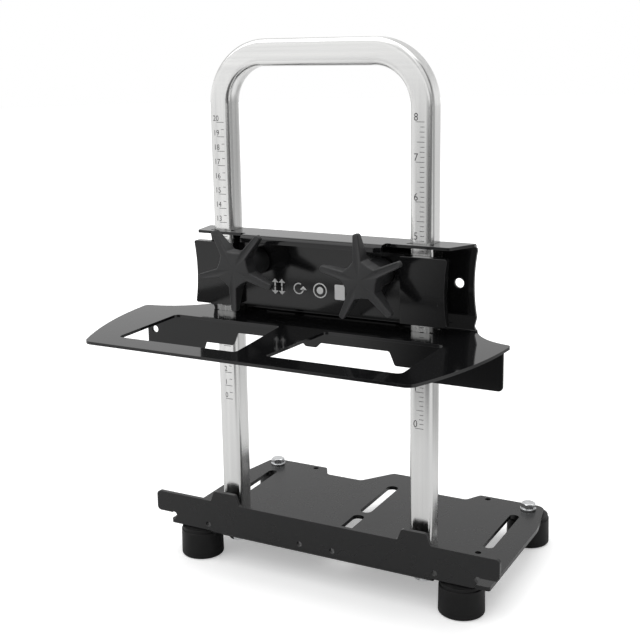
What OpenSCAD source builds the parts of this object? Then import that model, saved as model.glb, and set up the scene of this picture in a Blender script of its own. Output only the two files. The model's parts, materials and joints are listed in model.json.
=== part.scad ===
// Height-adjustable guide jig: a slotted base on four rubber feet, a bent square tube as its two legs,
// and a carriage that slides on the legs and is clamped to them by a front plate with two star knobs.
// Millimetres, Z up, X along the front. The origin is the centre of the footprint, on the floor.

/* [Legs] */
// Distance between the centre lines of the two legs
leg_spacing = 150; // [140:1:190]
// Outer size of the square tube
tube_size = 16; // [14:0.5:20]
// Wall of the square tube
tube_wall = 1.5; // [1:0.1:2.5]
// Outer corner radius of the tube's section
tube_corner = 3; // [2:0.1:3.5]
// Radius of the tube's two bends, at its centre line
bend_radius = 36; // [28:1:50]
// Height of the top of the tube above the floor
overall_height = 383; // [318:0.5:480]

/* [Base] */
// Thickness of the base plate's sheet
base_sheet = 3; // [2.5:0.1:4]
// How far the base plate reaches beyond each leg's centre line
base_margin = 52; // [46:0.5:60]
// From the leg axis forward to the front face of the base's flange
flange_reach = 18.5; // [17:0.5:24]
// From the leg axis back to the long rear edges of the base plate
base_rear = 133; // [125:1:170]
// How far the rear bay's edge lies in front of the rear edges
bay_depth = 13; // [8:1:18]
// How far the middle tongue stands behind the rear edges
tongue_depth = 12.5; // [8:0.5:20]
// How far the upturned flange's ears reach beyond each leg's centre line
flange_margin = 60.5; // [56:0.5:70]
// Height of the flange's top edge above the plate's top face
flange_height = 23.5; // [18:0.5:30]
// Height of the locating tabs above the flange's top edge
tab_height = 8; // [4:0.5:10]
// Width of a locating tab along its top
tab_width = 18; // [12:1:20]
// Width of the middle slots
mid_slot_width = 9; // [6:0.5:11]
// Width of the two side slots
side_slot_width = 7.5; // [5:0.5:9]
// How far outside each leg's centre line the side slot lies
side_slot_offset = 30; // [26:0.5:36]

/* [Feet] */
// Diameter of a rubber foot
foot_diameter = 32; // [26:1:34]
// Height of a rubber foot
foot_height = 22.5; // [18:0.5:30]
// How far outside each leg's centre line the front foot lies
front_foot_offset = 29.5; // [28:0.5:36]
// How far outside each leg's centre line the rear foot lies
rear_foot_offset = 35; // [24:0.5:36]

/* [Carriage] */
// Thickness of the carriage bracket's sheet
bracket_sheet = 2; // [1.5:0.1:3]
// How far the deck's rear corners reach beyond each leg's centre line
deck_margin = 64; // [58:0.5:74]
// How far the deck's front corners reach beyond each leg's centre line
deck_front_margin = 40; // [34:0.5:50]
// From the leg axis forward to the deck's front edge
deck_reach = 118; // [98:1:145]
// Height of the deck's top face above the floor
deck_height = 193; // [175:1:200]
// How far the upright wall reaches beyond the right leg's centre line
wall_margin = 32.5; // [30:0.5:38]
// How far the upright wall reaches beyond the left leg's centre line
wall_left_margin = 21; // [18:0.5:38]
// Gap between the tube and the sheets that guide it
slide_gap = 0.3; // [0.2:0.05:0.5]
// Depth of the guide plate under the deck
guide_depth = 27.5; // [24:0.5:34]
// How far the guide plate reaches beyond each leg's centre line
guide_margin = 60.5; // [54:0.5:62]

/* [Clamp] */
// Height of the clamp plate
clamp_height = 45; // [38:0.5:56]
// How far the clamp plate reaches beyond each leg's centre line
clamp_margin = 20.5; // [18:0.5:24]
// Thickness of the clamp plate's sheet
clamp_sheet = 3; // [2:0.1:3.5]
// Depth of the clamp plate's folded rim behind its front face
clamp_rim = 6; // [5:0.1:8]
// How far inside each leg's centre line the knob's axis lies
knob_inset = 28; // [24:0.5:34]
// Radius of a knob over the tips of its arms
knob_radius = 30; // [26:0.5:36]
// Depth of a knob's arms at its hub
arm_depth = 12; // [9:0.5:14]
// Depth of a knob's arms at their tips
arm_tip_depth = 4; // [3:0.5:8]
// Diameter of the clamp bolts
clamp_bolt_diameter = 8; // [6:1:8]

/* [Hidden] */
$fn = 64;

// Heights above the floor
plate_bottom = foot_height;
plate_top = plate_bottom + base_sheet;
flange_top = plate_top + flange_height;
tab_top = flange_top + tab_height;
deck_top = deck_height;
deck_bottom = deck_top - bracket_sheet;
clamp_bottom = deck_top + 6;
clamp_top = clamp_bottom + clamp_height;
wall_top = clamp_top + 5.5 + bracket_sheet;
knob_z = clamp_top - 12.5;

// Places along Y, where the leg axis lies at leg_y and the footprint's centre at 0
base_back = base_rear + tongue_depth;
leg_y = (deck_reach - base_back) / 2;
leg_half = tube_size / 2;
leg_x = leg_spacing / 2;
wall_front = leg_half + slide_gap;
wall_back = wall_front + bracket_sheet;

// Places along X, measured from the middle
base_half = leg_x + base_margin;
flange_half = leg_x + flange_margin;
side_slot_x = leg_x + side_slot_offset;
front_foot_x = leg_x + front_foot_offset;
rear_foot_x = leg_x + rear_foot_offset;
deck_half = leg_x + deck_margin;
deck_front_half = leg_x + deck_front_margin;
wall_right = leg_x + wall_margin;
wall_left = leg_x + wall_left_margin;
guide_half = leg_x + guide_margin;
clamp_half = leg_x + clamp_margin;
knob_x = leg_x - knob_inset;

// Bends of the sheet parts
bend_inner = 1;
base_bend = base_sheet + bend_inner;
bracket_bend = bracket_sheet + bend_inner;

// Base plate's details
bend_half = leg_x + leg_half + 5;           // half length of the bend between plate and flange
ear_start = base_half - 5;                  // where the flange becomes an ear
ear_rise = 4;                               // length of the slope that leads up to the ear
ear_lift = 8;                               // height of the ear's lower edge over the plate's top
ear_relief = 2.2;                           // radius of the round notch in the ear's inner corner
ear_gap = 2.5;                              // open gap between flange and plate beside the bend
front_edge = flange_reach - base_sheet - ear_gap;
tab_slope = 3;                              // how far each side of a tab runs out
flange_hole = 4;
flange_hole_lift = 4.5;
flange_hole_x = [13, leg_x + 15];
side_curve = 60;                            // radius where the plate's sides turn towards the rear
side_curve_y = base_rear * 0.7;
rear_inset = 7;                             // how far the rear corners lie inside the plate's sides
bay_outer = leg_x - 7;                      // the rear bay's ends, at the rear edge and at its floor
bay_floor = leg_x - 14;
tongue_root = 30;                           // half widths of the middle tongue
tongue_tip = 12;
side_slot = [44, 108];                      // the side slots' ends behind the leg axis
long_slot = [62, 120];                      // the long middle slot's ends
short_slot = [20, 56];                      // the short middle slot's ends
screw_hole = 4.5;
rear_screw = [leg_x + 1, base_rear - 5];
front_screw = [side_slot_x - 3, side_slot[0] - 10];

// Fasteners: clearance and head sizes go with the metric thread
foot_thread = 6;
leg_thread = 8;
hole_gap = 0.5;
thread_gap = 0.05;
foot_y = [-5, base_rear - 10];
foot_rounding = 1.5;

// Clamp, measured along Y from the leg axis; forward is negative
clamp_back = -leg_half - slide_gap;
clamp_front = clamp_back - clamp_rim;
recess_back = 5;
recess_front = -6;
web_gap = 1;
recess_half = leg_x - leg_half - web_gap - clamp_sheet;
knob_washer_thickness = 1.6;
knob_front = -42;
knob_back = recess_front - knob_washer_thickness;
insert_depth = 18;

// ---- Outlines and small helpers ----

// Points of an arc from p to q that bulges by sag to the right of the way from p to q
function arc_points(p, q, sag, steps = 16) =
    let (d = q - p, chord = norm(d), r = (chord * chord / 4 + sag * sag) / (2 * abs(sag)))
    let (side = [d[1], -d[0]] / chord * sign(sag))
    let (mid = (p + q) / 2, centre = mid - side * (r - abs(sag)), half = asin(chord / 2 / r))
    [for (i = [0 : steps]) let (a = -half + 2 * half * i / steps)
        centre + r * (side * cos(a) + d / chord * sin(a))];

// Points that replace corner q, between p and s, by an arc of radius r
function corner_points(p, q, s, r, steps = 6) =
    let (u = (p - q) / norm(p - q), v = (s - q) / norm(s - q), half = acos(u * v) / 2)
    let (bis = (u + v) / norm(u + v), centre = q + bis * r / sin(half))
    let (a0 = atan2((q + u * r / tan(half) - centre)[1], (q + u * r / tan(half) - centre)[0]))
    let (a1 = atan2((q + v * r / tan(half) - centre)[1], (q + v * r / tan(half) - centre)[0]))
    let (turn = a1 - a0 > 180 ? a1 - a0 - 360 : a1 - a0 < -180 ? a1 - a0 + 360 : a1 - a0)
    [for (i = [0 : steps]) centre + r * [cos(a0 + turn * i / steps), sin(a0 + turn * i / steps)]];

// Outline whose vertices are [x, y, r], each corner rounded by its r
function rounded(v) = [for (i = [0 : len(v) - 1])
    let (p = v[(i + len(v) - 1) % len(v)], q = v[i], s = v[(i + 1) % len(v)])
    each (q[2] > 0 ? corner_points([p[0], p[1]], [q[0], q[1]], [s[0], s[1]], q[2]) : [[q[0], q[1]]])];

// An outline's right half turned into a left half
function flipped(v) = [for (i = [len(v) - 1 : -1 : 0]) [-v[i][0], v[i][1], v[i][2]]];

// The right half of an outline, with its mirror image on the left
function mirrored(v) = concat(v, flipped(v));

function sharp(points) = [for (p = points) [p[0], p[1], 0]];

module rounded_square(size, r) {
    inner = size / 2 - r;
    square([size, 2 * inner], center = true);
    square([2 * inner, size], center = true);
    for (x = [-inner, inner], y = [-inner, inner]) translate([x, y]) circle(r);
}

// A profile drawn in Y and Z, run along X and centred
module along_x(length) {
    rotate([90, 0, 90]) linear_extrude(length, center = true) children();
}

// An outline drawn in X and Z, given thickness from y0 back to y1
module upright(y0, y1) {
    translate([0, y1, 0]) rotate([90, 0, 0]) linear_extrude(y1 - y0) children();
}

// An outline drawn in X and Y, given thickness from z0 up to z1
module level(z0, z1) {
    translate([0, 0, z0]) linear_extrude(z1 - z0) children();
}

module slot_cut(x, ends, width) {
    translate([x, ends[0] + width / 2]) circle(d = width);
    translate([x, ends[1] - width / 2]) circle(d = width);
    translate([x - width / 2, ends[0] + width / 2]) square([width, ends[1] - ends[0] - width]);
}

// A quarter of a bent sheet's section, with its outer corner at the origin, arms along +X and +Y
module bend_section(outer, sheet) {
    intersection() {
        translate([outer, outer]) difference() {
            circle(outer);
            circle(outer - sheet);
        }
        square(outer);
    }
}

module hex_head(thread) {
    cylinder(d = thread * 1.85, h = thread * 0.66, $fn = 6);
}

module washer(thread, outer, thickness) {
    difference() {
        cylinder(d = outer, h = thickness);
        translate([0, 0, -1]) cylinder(d = thread + hole_gap, h = thickness + 2);
    }
}

module at_legs() { translate([0, leg_y, 0]) children(); }

// ---- Base ----

module base_outline() {
    bay = base_rear - bay_depth;
    difference() {
        polygon(rounded(mirrored([
            [base_half, -front_edge, 2],
            [base_half, side_curve_y, side_curve],
            [base_half - rear_inset, base_rear, 8],
            [bay_outer, base_rear, 3],
            [bay_floor, bay, 4],
            [tongue_root, bay, 5],
            [tongue_tip, base_back, 4],
        ])));
        for (side = [-1, 1]) {
            slot_cut(side * side_slot_x, side_slot, side_slot_width);
            translate([side * rear_screw[0], rear_screw[1]]) circle(d = screw_hole);
            translate([side * front_screw[0], front_screw[1]]) circle(d = screw_hole);
            translate([side * leg_x, 0]) circle(d = leg_thread + hole_gap);
            translate([side * front_foot_x, foot_y[0]]) circle(d = foot_thread + hole_gap);
            translate([side * rear_foot_x, foot_y[1]]) circle(d = foot_thread + hole_gap);
        }
        slot_cut(0, long_slot, mid_slot_width);
        slot_cut(0, short_slot, mid_slot_width);
    }
}

module flange_outline() {
    low = plate_bottom + base_bend;
    tab_foot = leg_x - tab_width / 2 - tab_slope;
    difference() {
        polygon(rounded(mirrored([
            [bend_half, low, 0],
            [bend_half, plate_top, 0],
            [ear_start - ear_rise, plate_top, 2],
            [ear_start, plate_top + ear_lift, 2],
            [flange_half, plate_top + ear_lift, 3],
            [flange_half, flange_top, 3],
            [leg_x + tab_width / 2 + tab_slope, flange_top, 2],
            [leg_x + tab_width / 2, tab_top, 2],
            [leg_x - tab_width / 2, tab_top, 2],
            [tab_foot, flange_top, 2],
        ])));
        for (x = flange_hole_x, side = [-1, 1]) {
            translate([side * x, plate_top + flange_hole_lift]) circle(d = flange_hole);
        }
        for (side = [-1, 1])
            translate([side * (ear_start - 1.5), plate_top + ear_lift - 1.5]) circle(ear_relief);
    }
}

module base_plate() {
    color("#17181a") at_legs() {
        level(plate_bottom, plate_top) base_outline();
        upright(-flange_reach, -flange_reach + base_sheet) flange_outline();
        along_x(2 * bend_half) {
            translate([-flange_reach, plate_bottom]) bend_section(base_bend, base_sheet);
            translate([-flange_reach + base_bend, plate_bottom])
                square([flange_reach - base_bend - front_edge, base_sheet]);
        }
    }
}

module foot_places() {
    for (side = [-1, 1]) {
        translate([side * front_foot_x, foot_y[0], 0]) children();
        translate([side * rear_foot_x, foot_y[1], 0]) children();
    }
}

insert_size = foot_thread + 5;
insert_height = 12;

module foot(x, y) {
    radius = foot_diameter / 2;
    color("#1b1b1b") at_legs() translate([x, y, 0]) difference() {
        rotate_extrude() {
            square([radius - foot_rounding, foot_height]);
            translate([0, foot_rounding]) square([radius, foot_height - foot_rounding]);
            translate([radius - foot_rounding, foot_rounding]) circle(foot_rounding);
        }
        translate([0, 0, foot_height - insert_height]) cylinder(d = insert_size, h = insert_height + 1);
    }
}

module foot_front_left() { foot(-front_foot_x, foot_y[0]); }
module foot_front_right() { foot(front_foot_x, foot_y[0]); }
module foot_rear_left() { foot(-rear_foot_x, foot_y[1]); }
module foot_rear_right() { foot(rear_foot_x, foot_y[1]); }

module foot_inserts() {
    color("#b9bcc0") at_legs() foot_places() translate([0, 0, foot_height - insert_height]) difference() {
        cylinder(d = insert_size, h = insert_height);
        translate([0, 0, 1]) cylinder(d = foot_thread, h = insert_height);
    }
}

washer_thickness = 1.6;

module foot_bolts() {
    color("#c9ccd0") at_legs() foot_places() {
        translate([0, 0, foot_height - insert_height + 2])
            cylinder(d = foot_thread, h = insert_height - 2 + base_sheet + washer_thickness);
        translate([0, 0, plate_top + washer_thickness]) hex_head(foot_thread);
    }
}

module foot_washers() {
    color("#c9ccd0") at_legs() foot_places() translate([0, 0, plate_top])
        washer(foot_thread, foot_thread * 2, washer_thickness);
}

// ---- Legs ----

module tube_section() {
    difference() {
        rounded_square(tube_size, tube_corner);
        rounded_square(tube_size - 2 * tube_wall, tube_corner - tube_wall);
    }
}

bend_start = overall_height - leg_half - bend_radius;

module u_tube() {
    color("#cfd1d3") at_legs() {
        for (side = [-1, 1]) {
            translate([side * leg_x, 0, plate_top])
                linear_extrude(bend_start - plate_top) tube_section();
            translate([side * (leg_x - bend_radius), 0, bend_start])
                rotate([90, 0, side > 0 ? 0 : 180])
                rotate_extrude(angle = 90) translate([bend_radius, 0]) tube_section();
        }
        translate([0, 0, bend_start + bend_radius]) rotate([0, 90, 0])
            linear_extrude(2 * (leg_x - bend_radius), center = true) tube_section();
    }
}

plug_length = 24;

module leg_plug(side) {
    color("#a7abb0") at_legs() translate([side * leg_x, 0, plate_top]) difference() {
        linear_extrude(plug_length) rounded_square(tube_size - 2 * tube_wall, tube_corner - tube_wall);
        translate([0, 0, -1]) cylinder(d = leg_thread, h = plug_length - 3);
    }
}

module leg_plug_left() { leg_plug(-1); }
module leg_plug_right() { leg_plug(1); }

leg_bolt_reach = 16;

module leg_bolts() {
    color("#c9ccd0") at_legs() for (side = [-1, 1]) translate([side * leg_x, 0, 0]) {
        translate([0, 0, plate_bottom - washer_thickness])
            cylinder(d = leg_thread, h = washer_thickness + base_sheet + leg_bolt_reach);
        translate([0, 0, plate_bottom - washer_thickness]) mirror([0, 0, 1]) hex_head(leg_thread);
    }
}

module leg_washers() {
    color("#c9ccd0") at_legs() for (side = [-1, 1])
        translate([side * leg_x, 0, plate_bottom - washer_thickness])
            washer(leg_thread, leg_thread * 2, washer_thickness);
}

// ---- Carriage ----

window_front = deck_reach - 18;
window_back = 31.5;
window_outer = leg_x + 26.5;
web_front = 10.5;
web_back = 17;
deck_corner_y = -15;
deck_bulge = 5.4;      // how far each side of the deck bows outwards
deck_hollow = 4.5;     // how far each rear edge curves inwards

// Half of the deck's outline, up to the end of the wall on its side
function deck_side(wall_end) =
    let (front = [deck_front_half, -deck_reach], rear = [deck_half, deck_corner_y])
    let (root = [wall_end + 2.5, wall_front - 3])
    let (side_arc = arc_points(front, rear, deck_bulge))
    let (rear_arc = arc_points(rear, root, -deck_hollow))
    concat(
        [[front[0], front[1], 7]],
        sharp([for (i = [2 : len(side_arc) - 2]) side_arc[i]]),
        [[rear[0], rear[1], 3.5]],
        sharp([for (i = [2 : len(rear_arc) - 2]) rear_arc[i]]),
        [[root[0], root[1], 0], [wall_end, wall_back, 0]]);

module deck_outline() {
    polygon(rounded(concat(deck_side(wall_right), flipped(deck_side(wall_left)))));
}

corner_relief = 1.2;

// Square holes that guide the legs, with a small round relief at each corner
module leg_holes() {
    half = leg_half + slide_gap;
    for (side = [-1, 1]) translate([side * leg_x, 0]) {
        square(2 * half, center = true);
        for (x = [-half, half], y = [-half, half]) translate([x, y]) circle(corner_relief);
    }
}

module window(side) {
    polygon(rounded([
        [side * window_outer, -window_front, 4],
        [side * window_outer, -window_back, 4],
        [side * web_back, -window_back, 3],
        [side * web_front, -window_front, 3],
    ]));
}

top_front = leg_half + 5.5;
lip_front = 21;
lip_half = leg_x - 22;
lip_drop = 5;
top_taper = 11;
top_taper_left = 3.5;

// Half of the top flange's outline, from the lip's end to the end of the wall on its side
function top_side(wall_end, taper) = [
    [lip_half, -lip_front + bracket_bend, 0],
    [lip_half, -top_front + 1, 1],
    [lip_half + 3, -top_front + 1, 1],
    [lip_half + 4, -top_front, 0],
    [wall_end - taper, -top_front, 1.5],
    [wall_end - 1, wall_front - 3, 4],
    [wall_end - 1, wall_back, 0],
];

module top_outline() {
    polygon(rounded(concat(top_side(wall_right, top_taper), flipped(top_side(wall_left, top_taper_left)))));
}

waist = 2;
wall_hole = 6.5;
wall_hole_x = wall_right - 12;
wall_hole_z = clamp_bottom + 25.5;
wall_foot_height = 9;

// Half of the wall's outline, with a waisted end
function wall_side(wall_end) =
    let (low = deck_top + wall_foot_height, high = wall_top - 5)
    concat(
        [[wall_end + 1, deck_bottom, 0], [wall_end - 1.5, low - 6, 1.5]],
        sharp(arc_points([wall_end, low], [wall_end, high], -waist)),
        [[wall_end - 1, wall_top, 0]]);

module wall_outline() {
    difference() {
        polygon(rounded(concat(wall_side(wall_right), flipped(wall_side(wall_left)))));
        translate([wall_hole_x, wall_hole_z]) circle(d = wall_hole);
    }
}

module carriage_bracket() {
    width = 2 * deck_half + 2;
    color("#1a1b1d") at_legs() difference() {
        union() {
            intersection() {
                along_x(width) {
                    translate([-deck_reach - 1, deck_bottom])
                        square([deck_reach + 1 + wall_back - bracket_bend, bracket_sheet]);
                    translate([wall_back, deck_bottom]) mirror([1, 0])
                        bend_section(bracket_bend, bracket_sheet);
                }
                level(deck_bottom - 1, wall_top) deck_outline();
            }
            intersection() {
                along_x(width) translate([wall_front, deck_bottom + bracket_bend])
                    square([bracket_sheet, wall_top - deck_bottom - 2 * bracket_bend]);
                upright(0, wall_back + 1) wall_outline();
            }
            intersection() {
                along_x(width) {
                    translate([wall_back, wall_top]) mirror([1, 0]) mirror([0, 1])
                        bend_section(bracket_bend, bracket_sheet);
                    translate([-lip_front + bracket_bend, wall_top - bracket_sheet])
                        square([lip_front + wall_back - 2 * bracket_bend, bracket_sheet]);
                }
                level(wall_top - bracket_bend - 1, wall_top + 1) top_outline();
            }
            along_x(2 * lip_half) {
                translate([-lip_front, wall_top]) mirror([0, 1]) bend_section(bracket_bend, bracket_sheet);
                translate([-lip_front, wall_top - lip_drop])
                    square([bracket_sheet, lip_drop - bracket_bend]);
            }
        }
        level(deck_bottom - 1, wall_top + 1) leg_holes();
        level(deck_bottom - 1, deck_top + 1) for (side = [-1, 1]) window(side);
        for (side = [-1, 1]) translate([side * knob_x, 0, knob_z]) rotate([-90, 0, 0])
            cylinder(d = clamp_bolt_diameter + hole_gap, h = wall_back + 1);
    }
}

guide_front = -20;
guide_low = deck_bottom - guide_depth;
notch_rise = tab_height;
notch_outer = leg_x + tab_width / 2 + tab_slope + 1;
notch_inner = leg_x - tab_width / 2 - tab_slope - 1;
arch_rise = 17.5;
arch_end = notch_inner - 4;
stop_half = [4, 7.5];
stop_height = 3.5;
guide_hole = 5;
guide_hole_x = guide_half - 6.5;
guide_hole_z = guide_low + 13;

module guide_plate() {
    color("#1a1b1d") at_legs() upright(guide_front, guide_front + bracket_sheet) difference() {
        polygon(rounded(mirrored([
            [stop_half[0], guide_low + arch_rise - stop_height, 1.5],
            [stop_half[1], guide_low + arch_rise, 1.5],
            [arch_end, guide_low + arch_rise, 2],
            [notch_inner, guide_low + notch_rise, 2],
            [notch_outer - 3, guide_low + notch_rise, 2],
            [notch_outer, guide_low, 2],
            [guide_half, guide_low, 3],
            [guide_half, deck_bottom, 0],
        ])));
        translate([-guide_hole_x, guide_hole_z]) circle(d = guide_hole);
    }
}

bolt_head = clamp_bolt_diameter * 2;
bolt_head_height = 4;
bolt_length = 34;

module clamp_bolt(side) {
    color("#c9ccd0") at_legs() translate([side * knob_x, 0, knob_z]) rotate([90, 0, 0]) {
        translate([0, 0, -wall_back]) cylinder(d = clamp_bolt_diameter, h = bolt_length);
        translate([0, 0, -wall_back - bolt_head_height]) cylinder(d = bolt_head, h = bolt_head_height);
    }
}

module clamp_bolt_left() { clamp_bolt(-1); }
module clamp_bolt_right() { clamp_bolt(1); }

// ---- Clamp ----

module clamp_face(inset) {
    half = clamp_half - inset;
    low = clamp_bottom + inset;
    high = clamp_top - inset;
    edge = arc_points([half, low + 1], [half, high - 1], -waist * 0.9);
    polygon(rounded(mirrored(concat(
        [[half - 1, low, 0]],
        sharp(edge),
        [[half - 1, high, 0]]))));
}

module between_webs(half) {
    translate([-half, clamp_bottom - 1]) square([2 * half, clamp_height + 2]);
}

module clamp_plate() {
    color("#1a1b1d") at_legs() difference() {
        union() {
            upright(clamp_front, clamp_back) difference() {
                clamp_face(0);
                between_webs(recess_half);
            }
            upright(clamp_front, recess_back) intersection() {
                clamp_face(0);
                between_webs(recess_half + clamp_sheet);
            }
        }
        upright(clamp_front - 1, recess_front) between_webs(recess_half);
        upright(clamp_front + clamp_sheet, clamp_back + 1) difference() {
            clamp_face(clamp_sheet);
            between_webs(recess_half + clamp_sheet);
        }
        upright(recess_front + clamp_sheet, recess_back + 1) intersection() {
            clamp_face(clamp_sheet);
            between_webs(recess_half);
        }
        for (side = [-1, 1]) translate([side * knob_x, 0, knob_z]) rotate([90, 0, 0])
            cylinder(d = clamp_bolt_diameter + hole_gap, h = -recess_front + 1);
    }
}

module knob_washer(side) {
    color("#c9ccd0") at_legs() translate([side * knob_x, recess_front, knob_z]) rotate([90, 0, 0])
        washer(clamp_bolt_diameter, clamp_bolt_diameter * 2, knob_washer_thickness);
}

module knob_washer_left() { knob_washer(-1); }
module knob_washer_right() { knob_washer(1); }

arm_count = 5;
arm_turn = 360 / arm_count;
left_turn = 51;
right_turn = 25;
hub_radius = 11.5;
arm_root = 3.2;
arm_tip = 2.1;
arm_lean = 2.5;
boss_radius = 9.5;
knob_insert = clamp_bolt_diameter + 4;

module star_outline() {
    circle(hub_radius);
    for (i = [0 : arm_count - 1]) rotate(i * arm_turn) {
        polygon([[0, -arm_root], [knob_radius - arm_tip, -arm_tip],
            [knob_radius - arm_tip, arm_tip], [0, arm_root]]);
        translate([knob_radius - arm_tip, 0]) circle(arm_tip);
    }
}

// Room for the arms: full depth round the hub, thinner and leaning back towards the tips
module arm_room() {
    rim = knob_radius + 1;
    rotate_extrude() polygon([[0, 0], [hub_radius, 0], [rim, arm_lean], [rim, arm_lean + arm_tip_depth],
        [hub_radius, arm_depth], [0, arm_depth]]);
}

module knob(side, turn) {
    color("#202124") at_legs() translate([side * knob_x, knob_front, knob_z]) rotate([-90, -turn, 0])
    difference() {
        union() {
            intersection() {
                linear_extrude(arm_depth) star_outline();
                arm_room();
            }
            cylinder(r = boss_radius, h = knob_back - knob_front);
        }
        translate([0, 0, knob_back - knob_front - insert_depth])
            cylinder(d = knob_insert, h = insert_depth + 1);
    }
}

module knob_left() { knob(-1, left_turn); }
module knob_right() { knob(1, right_turn); }

module knob_insert(side) {
    color("#b08d4a") at_legs() translate([side * knob_x, knob_back, knob_z]) rotate([90, 0, 0])
    difference() {
        cylinder(d = knob_insert, h = insert_depth);
        translate([0, 0, -1]) cylinder(d = clamp_bolt_diameter + 2 * thread_gap, h = insert_depth + 2);
    }
}

module knob_insert_left() { knob_insert(-1); }
module knob_insert_right() { knob_insert(1); }

base_plate();
u_tube();
leg_plug_left();
leg_plug_right();
leg_bolts();
leg_washers();
foot_front_left();
foot_front_right();
foot_rear_left();
foot_rear_right();
foot_inserts();
foot_bolts();
foot_washers();
carriage_bracket();
guide_plate();
clamp_bolt_left();
clamp_bolt_right();
clamp_plate();
knob_washer_left();
knob_washer_right();
knob_left();
knob_right();
knob_insert_left();
knob_insert_right();
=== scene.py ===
import json
import math

import bmesh
import bpy
from mathutils import Matrix, Vector


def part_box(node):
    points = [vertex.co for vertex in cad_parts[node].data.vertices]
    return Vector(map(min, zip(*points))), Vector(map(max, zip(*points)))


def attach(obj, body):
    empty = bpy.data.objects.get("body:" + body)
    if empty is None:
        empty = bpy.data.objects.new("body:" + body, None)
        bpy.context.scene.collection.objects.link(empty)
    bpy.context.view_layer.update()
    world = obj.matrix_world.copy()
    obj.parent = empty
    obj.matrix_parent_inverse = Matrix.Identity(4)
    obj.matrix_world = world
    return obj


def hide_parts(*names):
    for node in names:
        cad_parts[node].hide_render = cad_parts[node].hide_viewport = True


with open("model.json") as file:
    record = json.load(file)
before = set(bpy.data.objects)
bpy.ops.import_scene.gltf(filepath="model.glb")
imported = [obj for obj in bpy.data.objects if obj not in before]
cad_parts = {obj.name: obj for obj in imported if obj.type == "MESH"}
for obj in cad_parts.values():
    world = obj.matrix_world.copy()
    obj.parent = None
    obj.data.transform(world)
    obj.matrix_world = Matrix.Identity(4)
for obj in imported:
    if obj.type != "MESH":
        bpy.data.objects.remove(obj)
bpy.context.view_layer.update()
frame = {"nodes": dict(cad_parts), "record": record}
nodes = frame["nodes"]
scene = bpy.context.scene
mm = 0.001

# Camera: a little above the top of the bow, ahead and to the right

view = {
    "azimuth": 29.67,
    "elevation": 12.55,
    "roll": -1.37,
    "place": (0.3598, -0.7070, 0.3869),
    "lens": 65.4,
    "shift": (0.0641, -0.0453),
}


def addCamera():
    azimuth, elevation = math.radians(view["azimuth"]), math.radians(view["elevation"])
    back = Vector((
        math.sin(azimuth) * math.cos(elevation),
        -math.cos(azimuth) * math.cos(elevation),
        math.sin(elevation),
    ))
    right = (-back).cross(Vector((0, 0, 1))).normalized()
    up = right.cross(-back)
    tilt = Matrix.Rotation(math.radians(view["roll"]), 3, back)
    right, up = tilt @ right, tilt @ up
    camera = bpy.data.objects.new("camera", bpy.data.cameras.new("camera"))
    camera.data.lens = view["lens"]
    camera.data.shift_x, camera.data.shift_y = view["shift"]
    turn = Matrix((right, up, back)).transposed().to_4x4()
    camera.matrix_world = Matrix.Translation(view["place"]) @ turn
    scene.collection.objects.link(camera)
    scene.camera = camera


# Shader helpers


def addNode(tree, kind, inputs=None, **settings):
    node = tree.nodes.new("ShaderNode" + kind)
    for key, value in settings.items():
        setattr(node, key, value)
    for key, value in (inputs or {}).items():
        if isinstance(value, bpy.types.NodeSocket):
            tree.links.new(value, node.inputs[key])
        else:
            node.inputs[key].default_value = value
    return node


def mathNode(tree, operation, a, b=0.0, clamp=False):
    node = addNode(tree, "Math", {0: a, 1: b}, operation=operation, use_clamp=clamp)
    return node.outputs[0]


def rangeNode(tree, value, fromLow, fromHigh, toLow, toHigh):
    node = addNode(tree, "MapRange", {
        "Value": value, "From Min": fromLow, "From Max": fromHigh,
        "To Min": toLow, "To Max": toHigh,
    })
    return node.outputs["Result"]


def noiseNode(tree, place, scale, detail=2.0, roughness=0.5):
    node = addNode(tree, "TexNoise", {
        "Vector": place, "Scale": scale, "Detail": detail, "Roughness": roughness,
    })
    return node.outputs["Fac"]


def colourMix(tree, amount, a, b):
    node = addNode(tree, "Mix", data_type="RGBA")
    for socket, value in ((node.inputs[0], amount), (node.inputs[6], a), (node.inputs[7], b)):
        if isinstance(value, bpy.types.NodeSocket):
            tree.links.new(value, socket)
        else:
            socket.default_value = value
    return node.outputs[2]


def newGroup(name, inputs, outputs):
    tree = bpy.data.node_groups.new(name, "ShaderNodeTree")
    for label, value in inputs.items():
        socket = tree.interface.new_socket(label, in_out="INPUT", socket_type="NodeSocketFloat")
        socket.default_value = value
    for label, kind in outputs.items():
        tree.interface.new_socket(label, in_out="OUTPUT", socket_type="NodeSocket" + kind)
    start = tree.nodes.new("NodeGroupInput")
    end = tree.nodes.new("NodeGroupOutput")
    return tree, start, end


def placeGroup(tree, group, **inputs):
    node = tree.nodes.new("ShaderNodeGroup")
    node.node_tree = group
    for key, value in inputs.items():
        node.inputs[key].default_value = value
    return node


def objectPlace(tree):
    return addNode(tree, "TexCoord").outputs["Object"]


# Surface effects that several finishes share


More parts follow.
